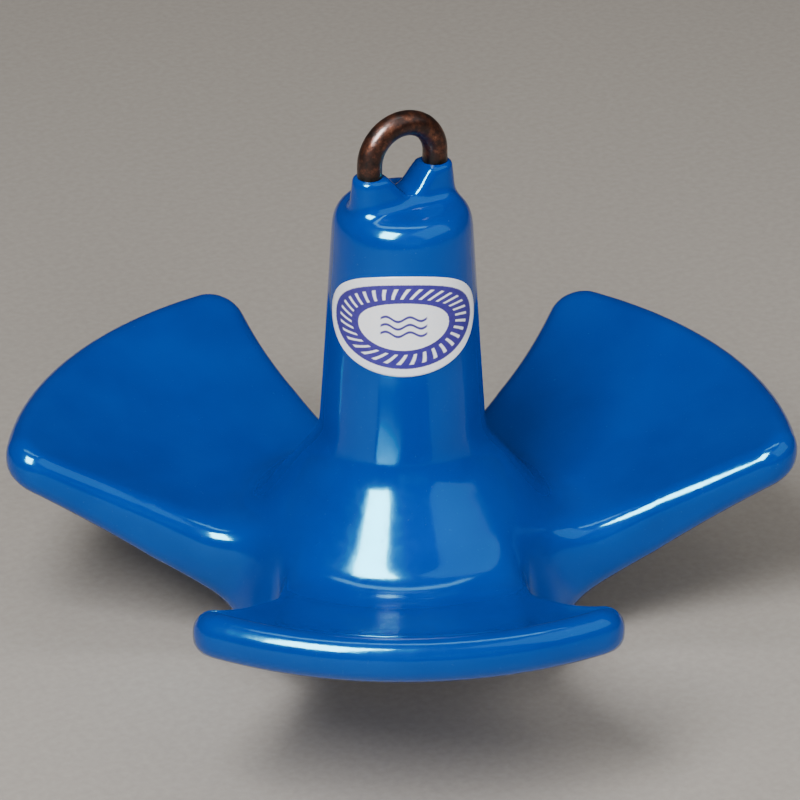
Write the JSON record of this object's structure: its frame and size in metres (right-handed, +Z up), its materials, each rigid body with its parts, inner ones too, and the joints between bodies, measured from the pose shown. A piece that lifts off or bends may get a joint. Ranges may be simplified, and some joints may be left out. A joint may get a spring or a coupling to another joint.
{
  "type": "river anchor",
  "caption": "Vinyl-coated cast river anchor with blunt radial flukes round a domed hub, a tapered shank and a cast-in lifting eye.",
  "frame": {"origin": "centre of the flat coated foot, on the shank's axis", "axes": "+Z up the shank, +X along one fluke, the lifting eye in the XZ plane"},
  "size_m": [0.2864, 0.3078, 0.2256],
  "materials": {
    "iron_casting": "rough, as cast",
    "lifting_eye": "dark brown oxidised, satin",
    "vinyl_coating": "glossy dipped PVC",
    "label": "printed film"
  },
  "bodies": {
    "root": {"iron_casting": "iron_casting", "lifting_eye": "lifting_eye", "vinyl_coating": "vinyl_coating", "label": "label"}
  },
  "joints": []
}
